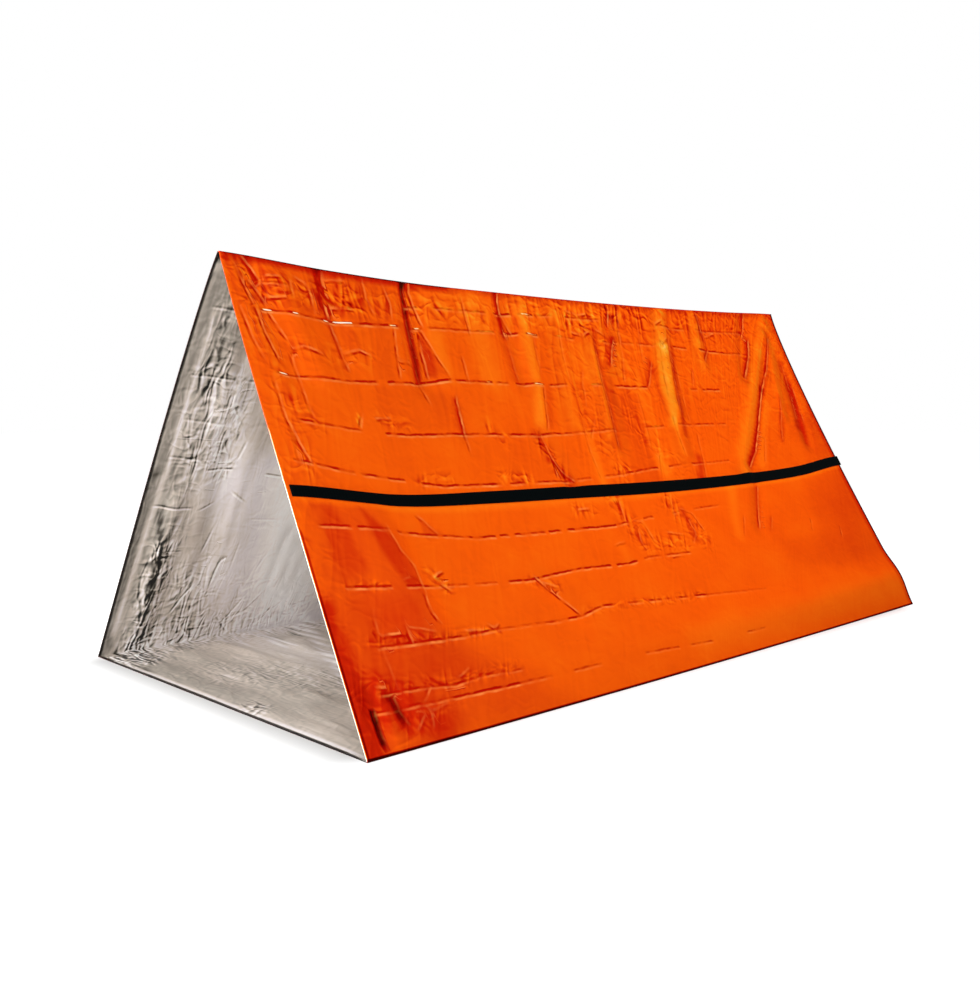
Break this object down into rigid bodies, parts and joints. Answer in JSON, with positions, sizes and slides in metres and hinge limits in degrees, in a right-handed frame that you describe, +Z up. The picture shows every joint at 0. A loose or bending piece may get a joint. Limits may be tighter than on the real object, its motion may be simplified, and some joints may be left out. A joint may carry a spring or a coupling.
{
  "type": "emergency bivy tube tent",
  "caption": "Open-ended triangular tube tent of thin metallised film with its own floor, orange outside and silver inside, with a plain black band along one slope.",
  "frame": {"origin": "on the ground under the middle of the tent's bounding box", "axes": "+Z up, +Y along the ridge from the front opening to the rear one, +X towards the slope with the black band"},
  "size_m": [1.244, 2.436, 1.0518],
  "materials": {
    "orange_film": "thin metallised film, glossy and creased, bright orange on the outside and silver on the inside",
    "black_band": "plain matt black tape"
  },
  "bodies": {
    "root": {"film_tube": "orange_film", "slope_band": "black_band"}
  },
  "joints": []
}
